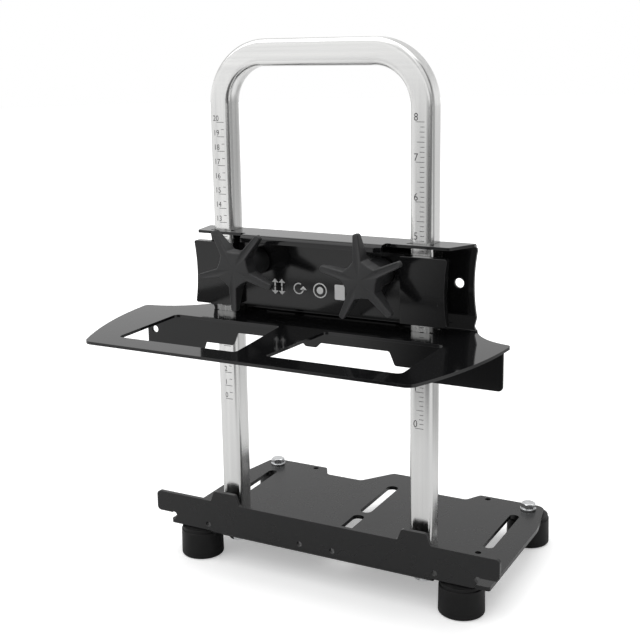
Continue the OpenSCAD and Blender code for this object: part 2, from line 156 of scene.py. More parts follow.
def makeCoatGroup():
    # powder coat: fine orange peel over a slow swell, soft handling smears and a few dust specks
    tree, start, end = newGroup(
        "powderCoat",
        {"PeelScale": 900.0, "SwellScale": 160.0, "SmearScale": 22.0, "DustScale": 420.0},
        {"Height": "Float", "Smear": "Float", "Dust": "Float"},
    )
    place = objectPlace(tree)
    peel = noiseNode(tree, place, start.outputs["PeelScale"], 1.0)
    swell = noiseNode(tree, place, start.outputs["SwellScale"], 0.0)
    height = mathNode(tree, "MULTIPLY_ADD", peel, 0.45)
    tree.links.new(swell, height.node.inputs[2])
    smear = noiseNode(tree, place, start.outputs["SmearScale"], 4.0, 0.6)
    dust = noiseNode(tree, place, start.outputs["DustScale"], 2.0, 0.7)
    tree.links.new(height, end.inputs["Height"])
    tree.links.new(rangeNode(tree, smear, 0.35, 0.7, 0.0, 1.0), end.inputs["Smear"])
    tree.links.new(rangeNode(tree, dust, 0.70, 0.80, 0.0, 1.0), end.inputs["Dust"])
    return tree


def makeEdgeGroup():
    # where an edge turns, for a lighter edge colour that is partly edge wear and partly a painted
    # highlight, broken up so that it looks handled
    tree, start, end = newGroup(
        "edgeWearAndHighlight", {"Width": 0.0006, "Amount": 1.0, "BreakScale": 260.0}, {"Mask": "Float"}
    )
    soft = addNode(tree, "Bevel", {"Radius": start.outputs["Width"]}, samples=4)
    flat = addNode(tree, "NewGeometry").outputs["Normal"]
    turned = addNode(tree, "VectorMath", {0: soft.outputs[0], 1: flat}, operation="DOT_PRODUCT")
    mask = rangeNode(tree, turned.outputs["Value"], 0.995, 0.75, 0.0, 1.0)
    breakUp = noiseNode(tree, objectPlace(tree), start.outputs["BreakScale"], 3.0)
    mask = mathNode(tree, "MULTIPLY", mask, rangeNode(tree, breakUp, 0.3, 0.65, 0.25, 1.0))
    mask = mathNode(tree, "MULTIPLY", mask, start.outputs["Amount"], clamp=True)
    tree.links.new(mask, end.inputs["Mask"])
    return tree


def makeGrainGroup():
    # moulded or machined surface: even fine grain, and slow blotches
    tree, start, end = newGroup(
        "fineGrain", {"Scale": 1400.0, "BlotchScale": 60.0}, {"Height": "Float", "Blotch": "Float"}
    )
    place = objectPlace(tree)
    grain = noiseNode(tree, place, start.outputs["Scale"], 2.0, 0.6)
    blotch = noiseNode(tree, place, start.outputs["BlotchScale"], 3.0)
    tree.links.new(grain, end.inputs["Height"])
    tree.links.new(rangeNode(tree, blotch, 0.3, 0.7, 0.0, 1.0), end.inputs["Blotch"])
    return tree


def makeDrawnGroup():
    # lines that run along a drawn tube: up the legs, and across the top above TopHeight
    tree, start, end = newGroup(
        "drawnLines",
        {"FineLines": 1800.0, "BroadLines": 420.0, "Along": 6.0, "TopHeight": 0.345},
        {"Height": "Float", "Shade": "Float"},
    )
    parts = addNode(tree, "SeparateXYZ", {0: objectPlace(tree)})
    found = {}
    for label in ("FineLines", "BroadLines"):
        rows = []
        for run in ("Z", "X"):
            stretched = addNode(tree, "CombineXYZ")
            for axis in "XYZ":
                factor = start.outputs["Along" if axis == run else label]
                tree.links.new(
                    mathNode(tree, "MULTIPLY", parts.outputs[axis], factor),
                    stretched.inputs[axis],
                )
            rows.append(noiseNode(tree, stretched.outputs[0], 1.0, 1.0))
        top = mathNode(tree, "SUBTRACT", parts.outputs["Z"], start.outputs["TopHeight"])
        top = rangeNode(tree, top, -0.004, 0.02, 0.0, 1.0)
        found[label] = addNode(tree, "Mix", {0: top, 2: rows[0], 3: rows[1]}).outputs[0]
    tree.links.new(found["FineLines"], end.inputs["Height"])
    tree.links.new(rangeNode(tree, found["BroadLines"], 0.3, 0.7, 0.0, 1.0), end.inputs["Shade"])
    return tree


coatGroup = makeCoatGroup()
edgeGroup = makeEdgeGroup()
grainGroup = makeGrainGroup()
drawnGroup = makeDrawnGroup()

# Finishes


def newMaterial(name):
    material = bpy.data.materials.new(name)
    material.use_nodes = True
    tree = material.node_tree
    return material, tree, tree.nodes["Principled BSDF"]


def bumpFrom(tree, shader, height, strength, distance):
    bump = addNode(tree, "Bump", {"Height": height, "Strength": strength, "Distance": distance})
    tree.links.new(bump.outputs[0], shader.inputs["Normal"])


# each coat's second colour is the lighter one along its edges: partly edge wear, partly a painted
# highlight
coats = {
    "baseCoat": {
        "colour": (0.005, 0.0051, 0.0054, 1), "wornAndHighlight": (0.045, 0.045, 0.046, 1),
        "rough": (0.22, 0.32), "peel": 0.16, "wearAndHighlight": 0.5,
    },
    "carriageCoat": {
        "colour": (0.0055, 0.0056, 0.006, 1), "wornAndHighlight": (0.06, 0.06, 0.06, 1),
        "rough": (0.05, 0.1), "peel": 0.10, "wearAndHighlight": 0.55,
    },
    "clampCoat": {
        "colour": (0.006, 0.0061, 0.0064, 1), "wornAndHighlight": (0.05, 0.05, 0.05, 1),
        "rough": (0.1, 0.16), "peel": 0.08, "wearAndHighlight": 0.5,
    },
}


coatGloss = {"ior": 1.46, "dustRough": 0.3, "depth": 0.08 * mm}


def makeCoat(name):
    finish = coats[name]
    material, tree, shader = newMaterial(name)
    coat = placeGroup(tree, coatGroup)
    wearAndHighlight = placeGroup(tree, edgeGroup, Amount=finish["wearAndHighlight"])
    low, high = finish["rough"]
    rough = rangeNode(tree, coat.outputs["Smear"], 0.0, 1.0, low, high)
    dusty = mathNode(tree, "MULTIPLY", coat.outputs["Dust"], coatGloss["dustRough"])
    rough = mathNode(tree, "ADD", rough, dusty)
    # edges take the lighter colour: partly wear, partly a painted highlight
    colour = colourMix(tree, wearAndHighlight.outputs["Mask"], finish["colour"], finish["wornAndHighlight"])
    tree.links.new(colour, shader.inputs["Base Color"])
    tree.links.new(rough, shader.inputs["Roughness"])
    shader.inputs["IOR"].default_value = coatGloss["ior"]
    bumpFrom(tree, shader, coat.outputs["Height"], finish["peel"], coatGloss["depth"])
    return material


tubeFinish = {
    "low": (0.74, 0.74, 0.735, 1), "high": (0.84, 0.84, 0.83, 1),
    "rough": (0.16, 0.24), "lines": 0.03, "depth": 0.04 * mm,
}


def makeTubeMetal():
    material, tree, shader = newMaterial("tubeMetal")
    drawn = placeGroup(tree, drawnGroup)
    shade = drawn.outputs["Shade"]
    colour = colourMix(tree, shade, tubeFinish["low"], tubeFinish["high"])
    tree.links.new(colour, shader.inputs["Base Color"])
    low, high = tubeFinish["rough"]
    tree.links.new(rangeNode(tree, shade, 0.0, 1.0, low, high), shader.inputs["Roughness"])
    shader.inputs["Metallic"].default_value = 1.0
    bumpFrom(tree, shader, drawn.outputs["Height"], tubeFinish["lines"], tubeFinish["depth"])
    return material


metals = {
    "zinc": {"low": (0.60, 0.61, 0.62, 1), "high": (0.78, 0.79, 0.80, 1), "rough": (0.2, 0.34)},
    "brass": {"low": (0.62, 0.46, 0.20, 1), "high": (0.76, 0.58, 0.29, 1), "rough": (0.25, 0.4)},
    "plugMetal": {"low": (0.5, 0.51, 0.52, 1), "high": (0.66, 0.67, 0.68, 1), "rough": (0.3, 0.45)},
}


metalGrain = {"scale": 2200.0, "blotches": 180.0, "strength": 0.15, "depth": 0.03 * mm}


def makeMetal(name):
    finish = metals[name]
    material, tree, shader = newMaterial(name)
    grain = placeGroup(
        tree, grainGroup, Scale=metalGrain["scale"], BlotchScale=metalGrain["blotches"]
    )
    blotch = grain.outputs["Blotch"]
    colour = colourMix(tree, blotch, finish["low"], finish["high"])
    tree.links.new(colour, shader.inputs["Base Color"])
    low, high = finish["rough"]
    tree.links.new(rangeNode(tree, blotch, 0.0, 1.0, low, high), shader.inputs["Roughness"])
    shader.inputs["Metallic"].default_value = 1.0
    bumpFrom(tree, shader, grain.outputs["Height"], metalGrain["strength"], metalGrain["depth"])
    return material


# each finish's third colour is the lighter one along its edges: partly edge wear, partly a painted
# highlight
moulded = {
    "footRubber": {
        "low": (0.003, 0.003, 0.0032, 1), "high": (0.007, 0.007, 0.0072, 1),
        "wornAndHighlight": (0.025, 0.025, 0.025, 1), "rough": (0.42, 0.56), "grain": 0.5, "scale": 1500.0,
        "gloss": 0.25,
    },
    "knobPlastic": {
        "low": (0.015, 0.0152, 0.016, 1), "high": (0.021, 0.0212, 0.022, 1),
        "wornAndHighlight": (0.05, 0.05, 0.051, 1), "rough": (0.42, 0.56), "grain": 0.35, "scale": 2400.0,
        "gloss": 0.5,
    },
    "scaleInk": {
        "low": (0.035, 0.035, 0.037, 1), "high": (0.07, 0.07, 0.072, 1),
        "wornAndHighlight": (0.12, 0.12, 0.12, 1), "rough": (0.5, 0.7), "grain": 0.2, "scale": 3000.0,
        "gloss": 0.4,
    },
    "markInk": {
        "low": (0.62, 0.62, 0.62, 1), "high": (0.78, 0.78, 0.77, 1),
        "wornAndHighlight": (0.5, 0.5, 0.5, 1), "rough": (0.45, 0.6), "grain": 0.2, "scale": 3000.0,
        "gloss": 0.4,
    },
}


mouldedGrain = {"blotches": 70.0, "wearAndHighlight": 0.35, "depth": 0.06 * mm}


def makeMoulded(name):
    finish = moulded[name]
    material, tree, shader = newMaterial(name)
    grain = placeGroup(
        tree, grainGroup, Scale=finish["scale"], BlotchScale=mouldedGrain["blotches"]
    )
    wearAndHighlight = placeGroup(tree, edgeGroup, Amount=mouldedGrain["wearAndHighlight"])
    colour = colourMix(tree, grain.outputs["Blotch"], finish["low"], finish["high"])
    # edges take the lighter colour: partly wear, partly a painted highlight
    colour = colourMix(tree, wearAndHighlight.outputs["Mask"], colour, finish["wornAndHighlight"])
    tree.links.new(colour, shader.inputs["Base Color"])
    low, high = finish["rough"]
    rough = rangeNode(tree, grain.outputs["Blotch"], 0.0, 1.0, low, high)
    tree.links.new(rough, shader.inputs["Roughness"])
    shader.inputs["Specular IOR Level"].default_value = finish["gloss"]
    bumpFrom(tree, shader, grain.outputs["Height"], finish["grain"], mouldedGrain["depth"])
    return material


finishes = {name: makeCoat(name) for name in coats}
finishes["tubeMetal"] = makeTubeMetal()
finishes.update({name: makeMetal(name) for name in metals})
finishes.update({name: makeMoulded(name) for name in moulded})

slotFinish = {
    "base_coat": "baseCoat", "carriage_coat": "carriageCoat", "clamp_coat": "clampCoat",
    "tube_metal": "tubeMetal", "plug_metal": "plugMetal", "zinc": "zinc",
    "insert_metal": "brass", "foot_rubber": "footRubber", "knob_plastic": "knobPlastic",
}
slotOf = {part["node"]: part["material_slot"] for part in frame["record"]["subparts"]}
bodyOf = {
    name: body for body, names in frame["record"]["behaviour"]["bodies"].items() for name in names
}

for name, node in nodes.items():
    node.data.materials.clear()
    node.data.materials.append(finishes[slotFinish[slotOf[name]]])
print("finishes made")

# Helpers for the pieces


def newPiece(name, bm, stands, finish=None, replace=True):
    # stands is the CAD node that gives the piece its body and slot, and that it replaces
    mesh = bpy.data.meshes.new(name)
    bm.to_mesh(mesh)
    bm.free()
    mesh.materials.append(finishes[finish or slotFinish[slotOf[stands]]])
    piece = bpy.data.objects.new(name, mesh)
    scene.collection.objects.link(piece)
    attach(piece, bodyOf[stands])
    if replace:
        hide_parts(stands)
    return piece


def smoothPiece(piece, creaseFrom):
    for face in piece.data.polygons:
        face.use_smooth = True
    piece.data.set_sharp_from_angle(angle=math.radians(creaseFrom))
    weighted = piece.modifiers.new("weighted", "WEIGHTED_NORMAL")
    weighted.keep_sharp = True


def roundCorners(corners, steps):
    # corners are (x, y, radius); each one becomes an arc, and the result is a closed outline
    points = []
    for index, (x, y, radius) in enumerate(corners):
        corner = Vector((x, y))
        before = (Vector(corners[index - 1][:2]) - corner).normalized()
        after = (Vector(corners[(index + 1) % len(corners)][:2]) - corner).normalized()
        half = before.angle(after) / 2
        reach = radius / math.tan(half)
        centre = corner + (before + after).normalized() * radius / math.sin(half)
        first = corner + before * reach - centre
        last = corner + after * reach - centre
        turn = math.atan2(first.x * last.y - first.y * last.x, first.dot(last))
        for step in range(steps + 1):
            points.append(centre + Matrix.Rotation(turn * step / steps, 2) @ first)
    return points


def joinRings(bm, first, second):
    # four-sided faces between two rings with the same number of points
    count = len(first)
    for index in range(count):
        after = (index + 1) % count
        bm.faces.new((first[index], first[after], second[after], second[index]))


def addStrip(bm, outline, place, depth):
    # a flat shape with its outline drawn to the right and up, standing depth proud of its place
    near = [bm.verts.new(place(x, z, depth)) for x, z in outline]
    far = [bm.verts.new(place(x, z, 0.0)) for x, z in outline]
    bm.faces.new(near)
    bm.faces.new(list(reversed(far)))
    joinRings(bm, far, near)


def addFrom(bm, part):
    # puts a part that is finished into the piece's own bmesh
    mesh = bpy.data.meshes.new("part")
    part.to_mesh(mesh)
    part.free()
    bm.from_mesh(mesh)
    bpy.data.meshes.remove(mesh)


def spinProfile(bm, profile, centre, axis, segments):
    # profile is (radius, distance along the axis); a radius of zero closes the end
    axis = Vector(axis).normalized()
    side = axis.orthogonal().normalized()
    verts = [bm.verts.new(Vector(centre) + side * r + axis * t) for r, t in profile]
    edges = [bm.edges.new(pair) for pair in zip(verts, verts[1:])]
    bmesh.ops.spin(
        bm, geom=verts + edges, cent=centre, axis=axis, angle=math.tau, steps=segments,
        use_merge=True,
    )
    bmesh.ops.remove_doubles(bm, verts=bm.verts, dist=1e-7)
    bmesh.ops.recalc_face_normals(bm, faces=bm.faces)


def arcProfile(centre, radius, start, end, steps=6):
    # points of an arc in a profile, its angles in degrees
    points = []
    for step in range(steps + 1):
        angle = math.radians(start + (end - start) * step / steps)
        points.append((centre[0] + radius * math.cos(angle), centre[1] + radius * math.sin(angle)))
    return points


# Sheet parts: the CAD shape with its edges rounded as a powder coat leaves them

sheetEdge = {
    "width": 0.45 * mm, "segments": 3, "sharpFrom": 35.0, "flatWithin": 0.5, "creaseFrom": 60.0,
}
sheetNodes = ("base_plate", "carriage_bracket", "guide_plate", "clamp_plate")


def addSheet(name):
    bm = bmesh.new()
    bm.from_mesh(nodes[name].data)
    bmesh.ops.remove_doubles(bm, verts=bm.verts, dist=1e-6)
    bmesh.ops.dissolve_limit(
        bm, angle_limit=math.radians(sheetEdge["flatWithin"]), verts=bm.verts, edges=bm.edges,
        use_dissolve_boundaries=False,
    )
    bmesh.ops.recalc_face_normals(bm, faces=bm.faces)
    limit = math.radians(sheetEdge["sharpFrom"])
    sharp = [
        edge for edge in bm.edges if len(edge.link_faces) == 2 and edge.calc_face_angle() > limit
    ]
    bmesh.ops.bevel(
        bm, geom=sharp, offset=sheetEdge["width"], segments=sheetEdge["segments"], profile=0.5,
        affect="EDGES", clamp_overlap=True, material=-1,
    )
    smoothPiece(newPiece(name + "_rounded", bm, name), sheetEdge["creaseFrom"])


for name in sheetNodes:
    addSheet(name)
print("sheets rounded")

# Tube: drawn square section. The inner side of each bend is pressed in, and the top swells inwards

tubeLow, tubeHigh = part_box("u_tube")
tubeSize = tubeHigh.y - tubeLow.y
legX = tubeHigh.x - tubeSize / 2
legY = (tubeLow.y + tubeHigh.y) / 2

tubeShape = {
    "bendRadius": 36 * mm, "corner": 3 * mm, "wall": 1.5 * mm,
    "dent": 1.3 * mm, "dentFrom": 0.7, "swell": 2.2 * mm,
    "bendSteps": 28, "cornerSteps": 5, "sideParts": 6, "creaseFrom": 50.0,
}


def tubeSection(size, corner):
    # a rounded square with extra points along each side, so that the inner side can bend in
    half = size / 2
    corners = [
        (half * across, half * deep, corner)
        for across, deep in ((1, -1), (1, 1), (-1, 1), (-1, -1))
    ]
    arcs = roundCorners(corners, tubeShape["cornerSteps"])
    parts = tubeShape["sideParts"]
    points = []
    for index, point in enumerate(arcs):
        points.append(point)
        after = arcs[(index + 1) % len(arcs)]
        if (after - point).length > corner:
            points += [point.lerp(after, part / parts) for part in range(1, parts)]
    return points


def tubeStations():
    # centre, direction outwards from the bow's inside, and how far round the bend it lies:
    # 0 on a leg and 1 on the top
    radius = tubeShape["bendRadius"]
    top = tubeHigh.z - tubeSize / 2
    bendZ = top - radius
    inner = legX - radius
    stations = [((-legX, tubeLow.z), (-1.0, 0.0), 0.0)]
    steps = tubeShape["bendSteps"]
    for side in (-1, 1):
        turns = range(steps + 1) if side < 0 else range(steps, -1, -1)
        for step in turns:
            angle = math.pi / 2 * step / steps
            away = (side * math.cos(angle), math.sin(angle))
            centre = (side * inner + radius * away[0], bendZ + radius * away[1])
            stations.append((centre, away, step / steps))
    stations.append(((legX, tubeLow.z), (1.0, 0.0), 0.0))
    return stations


def tubeRing(bm, section, station):
    # across runs outwards from the bow's inside, deep runs to the rear
    centre, away, bent = station
    dent = tubeShape["dent"] * math.sin(math.pi * bent) ** 2
    swell = tubeShape["swell"] * bent ** 2
    ring = []
    for across, deep in section:
        inward = max(0.0, -across / (tubeSize / 2))
        onInnerSide = inward > tubeShape["dentFrom"]
        press = dent * math.cos(deep / tubeSize * math.pi) ** 2 if onInnerSide else 0.0
        out = across + press - swell * inward
        spot = (centre[0] + away[0] * out, legY + deep, centre[1] + away[1] * out)
        ring.append(bm.verts.new(spot))
    return ring


def addTube():
    bm = bmesh.new()
    wall = tubeShape["wall"]
    outer = tubeSection(tubeSize, tubeShape["corner"])
    inner = tubeSection(tubeSize - 2 * wall, tubeShape["corner"] - wall)
    shells = []
    for section in (outer, inner):
        rings = [tubeRing(bm, section, station) for station in tubeStations()]
        for first, second in zip(rings, rings[1:]):
            joinRings(bm, first, second)
        shells.append(rings)
    for end in (0, -1):
        bmesh.ops.bridge_loops(bm, edges=[
            bm.edges.get((ring[index - 1], ring[index]))
            for ring in (shells[0][end], shells[1][end]) for index in range(len(ring))
        ])
    bmesh.ops.recalc_face_normals(bm, faces=bm.faces)
    smoothPiece(newPiece("bent_tube", bm, "u_tube"), tubeShape["creaseFrom"])


addTube()
print("tube made")

# Scales on the fronts of the legs: centimetres on the left, inches on the right

leftScale = {
    "zeroHeight": 127 * mm, "step": 10 * mm, "count": 20, "tickRight": -71.4 * mm,
    "longTick": 5.8 * mm, "halfTick": 2.2 * mm, "numberLeft": -80.0 * mm,
    "numberHeight": 3.6 * mm, "figureWidth": 0.7, "lift": 0.9 * mm,
}
rightScale = {
    "zeroHeight": 126.5 * mm, "step": 25.4 * mm, "count": 8, "tickRight": 77.5 * mm,
    "longTick": 6.0 * mm, "parts": (2.8, 3.2, 2.8, 5.1, 2.8, 3.2, 2.8), "numberLeft": 70.2 * mm,
    "numberHeight": 4.6 * mm, "lift": 0.8 * mm,
}
# fontHeight is how tall a figure stands for a letter size of 1
scaleShape = {"line": 0.36 * mm, "proud": 0.03 * mm, "narrow": 0.86, "fontHeight": 0.66}


def frontPlace(x, z, proud):
    return Vector((x, tubeLow.y - proud, z))


def addTick(bm, right, z, length):
    half = scaleShape["line"] / 2
    left = right - length
    outline = [(left, z - half), (right, z - half), (right, z + half), (left, z + half)]
    addStrip(bm, outline, frontPlace, scaleShape["proud"])


def addNumber(bm, value, left, bottom, height):
    # a flat number that faces forward
    curve = bpy.data.curves.new("number", "FONT")
    curve.body = str(value)
    curve.size = height / scaleShape["fontHeight"]
    holder = bpy.data.objects.new("number", curve)
    scene.collection.objects.link(holder)
    bpy.context.view_layer.update()
    depsgraph = bpy.context.evaluated_depsgraph_get()
    flat = bpy.data.meshes.new_from_object(holder.evaluated_get(depsgraph))
    place = Matrix.Translation(frontPlace(left, bottom, scaleShape["proud"]))
    upright = Matrix.Rotation(math.radians(90), 4, "X")
    flat.transform(place @ upright @ Matrix.Diagonal((scaleShape["narrow"], 1, 1, 1)))
    bm.from_mesh(flat)
    bpy.data.objects.remove(holder)
    bpy.data.curves.remove(curve)
    bpy.data.meshes.remove(flat)


def addLeftScale():
    shape = leftScale
    bm = bmesh.new()
    for number in range(shape["count"] + 1):
        z = shape["zeroHeight"] + shape["step"] * number
        addTick(bm, shape["tickRight"], z, shape["longTick"])
        if number < shape["count"]:
            addTick(bm, shape["tickRight"], z + shape["step"] / 2, shape["halfTick"])
        # a single figure stands where the second one of two does
        missing = 2 - len(str(number))
        left = shape["numberLeft"] + missing * shape["numberHeight"] * shape["figureWidth"]
        addNumber(bm, number, left, z + shape["lift"], shape["numberHeight"])
    newPiece("scale_left", bm, "u_tube", "scaleInk", replace=False)


def addRightScale():
    shape = rightScale
    bm = bmesh.new()
    for number in range(shape["count"] + 1):
        z = shape["zeroHeight"] + shape["step"] * number
        addTick(bm, shape["tickRight"], z, shape["longTick"])
        if number < shape["count"]:
            for part, length in enumerate(shape["parts"], 1):
                addTick(bm, shape["tickRight"], z + shape["step"] * part / 8, length * mm)
        addNumber(bm, number, shape["numberLeft"], z + shape["lift"], shape["numberHeight"])
    newPiece("scale_right", bm, "u_tube", "scaleInk", replace=False)


addLeftScale()
addRightScale()
print("scales made")

# Star knobs: a flat star whose arms lean back a little, on a round boss

knobShape = {
    "arms": 5, "radius": 30 * mm, "inside": 0.1 * mm, "hub": 11.4 * mm, "hubFillet": 3.5 * mm,
    "rootAt": 12.5 * mm, "rootHalf": 3.0 * mm, "rootCorner": 1.2 * mm,
    "tipHalf": 2.0 * mm, "tipCorner": 1.5 * mm, "cornerSteps": 4,
    "depth": 12 * mm, "tipDepth": 4.5 * mm, "lean": 2.5 * mm, "edge": 0.9 * mm,
    "turns": {"knob_left": 51.0, "knob_right": 25.0}, "creaseFrom": 45.0,
}
# the edges' rounding, as shares of "edge": how far in from the outline, how far down from the face
knobEdge = ((1.0, 0.0), (0.45, 0.12), (0.12, 0.45), (0.0, 1.0))

bossShape = {
    "radius": 9.4 * mm, "bore": 6.05 * mm, "foot": 2 * mm, "edge": 0.6 * mm, "sunk": 1.5 * mm,
    "segments": 56,
}


def starOutline(radius):
    shape = knobShape
    corners = []
    between = math.pi / shape["arms"]
    for arm in range(shape["arms"]):
        turn = Matrix.Rotation(2 * between * arm, 2)
        valley = shape["hub"] * math.cos(between), -shape["hub"] * math.sin(between)
        for point, corner in (
            (valley, shape["hubFillet"]),
            ((shape["rootAt"], -shape["rootHalf"]), shape["rootCorner"]),
            ((radius, -shape["tipHalf"]), shape["tipCorner"]),
            ((radius, shape["tipHalf"]), shape["tipCorner"]),
            ((shape["rootAt"], shape["rootHalf"]), shape["rootCorner"]),
        ):
            placed = turn @ Vector(point)
            corners.append((placed.x, placed.y, corner))
    return roundCorners(corners, shape["cornerSteps"])


def addStar(bm, front, middle, turnBy):
    # front is where the knob's face lies along Y, middle its axis
    shape = knobShape
    outline = starOutline(shape["radius"] - shape["inside"])
    count = len(outline)
    inward = []
    for index in range(count):
        along = (outline[(index + 1) % count] - outline[index - 1]).normalized()
        inward.append(Vector((-along.y, along.x)))
    turn = Matrix.Rotation(math.radians(turnBy), 2)
    levels = [(shape["edge"] * inset, shape["edge"] * down, False) for inset, down in knobEdge]
    levels += [(inset, down, True) for inset, down, atBack in reversed(levels)]
    rings = []
    for inset, down, atBack in levels:
        ring = []
        for point, side in zip(outline, inward):
            spot = point + side * inset
            reach = max(0.0, (spot.length - shape["hub"]) / (shape["radius"] - shape["hub"]))
            face = shape["lean"] * reach
            back = shape["depth"] + (shape["lean"] + shape["tipDepth"] - shape["depth"]) * reach
            placed = turn @ spot
            y = front + (back - down if atBack else face + down)
            ring.append(bm.verts.new((middle.x + placed.x, y, middle.z + placed.y)))
        rings.append(ring)
    for first, second in zip(rings, rings[1:]):
        joinRings(bm, first, second)
    for ring, y in ((rings[0], front), (rings[-1], front + shape["depth"])):
        centre = bm.verts.new((middle.x, y, middle.z))
        for index in range(count):
            bm.faces.new((centre, ring[index], ring[(index + 1) % count]))
    bmesh.ops.recalc_face_normals(bm, faces=bm.faces)


def addBoss(bm, front, middle, end):
    # a round boss that grows out of the star's back with a curved foot
    shape = bossShape
    start = knobShape["depth"] - shape["sunk"]
    foot, edge = shape["foot"], shape["edge"]
    wide = shape["radius"] + foot
    profile = [(shape["bore"], start), (wide, start)]
    profile += arcProfile((wide, knobShape["depth"] + foot), foot, -90, -180)
    profile += arcProfile((shape["radius"] - edge, end - edge), edge, 0, 90)
    profile += [(shape["bore"], end), (shape["bore"], start)]
    boss = bmesh.new()
    spinProfile(boss, profile, (middle.x, front, middle.z), (0, 1, 0), shape["segments"])
    addFrom(bm, boss)


def addKnob(name):
    low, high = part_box(name)
    insertLow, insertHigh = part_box(name.replace("knob", "knob_insert"))
    middle = (insertLow + insertHigh) / 2
    bm = bmesh.new()
    addStar(bm, low.y, middle, knobShape["turns"][name])
    addBoss(bm, low.y, middle, high.y - low.y)
    smoothPiece(newPiece(name + "_moulded", bm, name), knobShape["creaseFrom"])


for name in knobShape["turns"]:
    addKnob(name)
print("knobs made")

# Feet: moulded rubber with a shallow groove under the plate, a rounded tread and a hollow underneath

footShape = {
    "inside": 0.02 * mm, "tread": 1.6 * mm, "rim": 3.2 * mm, "rimSlope": 1 * mm,
    "hollow": 0.8 * mm, "shoulder": 0.8 * mm, "draft": 0.35 * mm, "groove": 0.8 * mm,
    "grooveHeight": 2.2 * mm, "grooveSlope": 0.3 * mm, "topEdge": 0.2 * mm,
    "bore": 5.5 * mm, "boreDepth": 12 * mm, "segments": 72, "creaseFrom": 40.0,
}
footNodes = ("foot_front_left", "foot_front_right", "foot_rear_left", "foot_rear_right")


def footProfile(radius, height):
    shape = footShape
    tread, shoulder, topEdge = shape["tread"], shape["shoulder"], shape["topEdge"]
    rim = radius - shape["rim"]
    side = radius - shape["draft"]
    neck = height - shape["grooveHeight"]
    inner = side - shape["groove"]
    boreEnd = height - shape["boreDepth"]
    profile = [(0.0, shape["hollow"]), (rim - shape["rimSlope"], shape["hollow"]), (rim, 0.0)]
    profile += arcProfile((radius - tread, tread), tread, -90, 0)
    profile += arcProfile((side - shoulder, neck - shoulder), shoulder, 0, 90, 4)
    profile += [(inner, neck + shape["grooveSlope"]), (inner, height - topEdge)]
    profile += [(inner - topEdge, height), (shape["bore"], height)]
    return profile + [(shape["bore"], boreEnd), (0.0, boreEnd)]


def addFoot(name):
    low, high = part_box(name)
    radius = (high.x - low.x) / 2 - footShape["inside"]
    centre = ((low.x + high.x) / 2, (low.y + high.y) / 2, low.z)
    bm = bmesh.new()
    profile = footProfile(radius, high.z - low.z)
    spinProfile(bm, profile, centre, (0, 0, 1), footShape["segments"])
    smoothPiece(newPiece(name + "_moulded", bm, name), footShape["creaseFrom"])


for name in footNodes:
    addFoot(name)
print("feet made")

# Bolts and washers, with chamfered hexes, washer rims and thread ends

hexShape = {"flatTop": 0.94, "chamfer": 30.0, "points": 96}
# depths and places along one turn of a thread, as shares of its pitch
threadShape = {"crestAt": 0.1, "rootAt": 0.55, "deep": 0.5, "endDeep": 0.6}


def addHexHead(bm, centre, axis, across, height):
    # the top's round chamfer cuts into the six corners, as it does on a turned head
    axis = Vector(axis)
    side = Vector((1, 0, 0))
    other = axis.cross(side)
    apothem = across / 2
    flatTop = apothem * hexShape["flatTop"]
    slope = math.tan(math.radians(hexShape["chamfer"]))
    foot, brim, top = [], [], []
    for index in range(hexShape["points"]):
        angle = math.tau * index / hexShape["points"]
        fromFlat = (angle + math.pi / 6) % (math.pi / 3) - math.pi / 6
        reach = apothem / math.cos(fromFlat)
        drop = max(0.0, (reach - flatTop) * slope)
        out = side * math.cos(angle) + other * math.sin(angle)
        foot.append(bm.verts.new(centre + out * reach))
        brim.append(bm.verts.new(centre + out * reach + axis * (height - drop)))
        top.append(bm.verts.new(centre + out * flatTop + axis * height))
    joinRings(bm, foot, brim)
    joinRings(bm, brim, top)
    bm.faces.new(top)
    bm.faces.new(list(reversed(foot)))


def threadProfile(radius, start, end, pitch):
    # a thread as a row of shallow ridges, with a chamfered end
    shape = threadShape
    points = []
    for index in range(max(1, int((end - start) / pitch))):
        at = start + pitch * index
        points.append((radius, at + pitch * shape["crestAt"]))
        points.append((radius - shape["deep"] * pitch, at + pitch * shape["rootAt"]))
    return points + [(radius - shape["endDeep"] * pitch, end), (0.0, end)]


def solidBoxes(node):
    # the lowest and highest corner of each separate solid in a node
    bm = bmesh.new()
    bm.from_mesh(node.data)
    bmesh.ops.remove_doubles(bm, verts=bm.verts, dist=1e-6)
    left, found = set(bm.verts), []
    while left:
        stack, group = [left.pop()], []
        while stack:
            vert = stack.pop()
            group.append(vert.co.copy())
            for edge in vert.link_edges:
                other = edge.other_vert(vert)
                if other in left:
                    left.remove(other)
                    stack.append(other)
        low = Vector(min(point[axis] for point in group) for axis in range(3))
        high = Vector(max(point[axis] for point in group) for axis in range(3))
        found.append((low, high))
    bm.free()
    return found


# head sizes are for a thread of 1; up is the way the head points
boltShape = {
    "headHeight": 0.66, "acrossCorners": 1.85, "inside": 0.05 * mm, "sunk": 0.2 * mm,
    "plain": 1 * mm, "segments": 40, "creaseFrom": 30.0,
}
boltSets = {
    "foot_bolts": {"thread": 6 * mm, "pitch": 1.0 * mm, "up": 1},
    "leg_bolts": {"thread": 8 * mm, "pitch": 1.25 * mm, "up": -1},
}


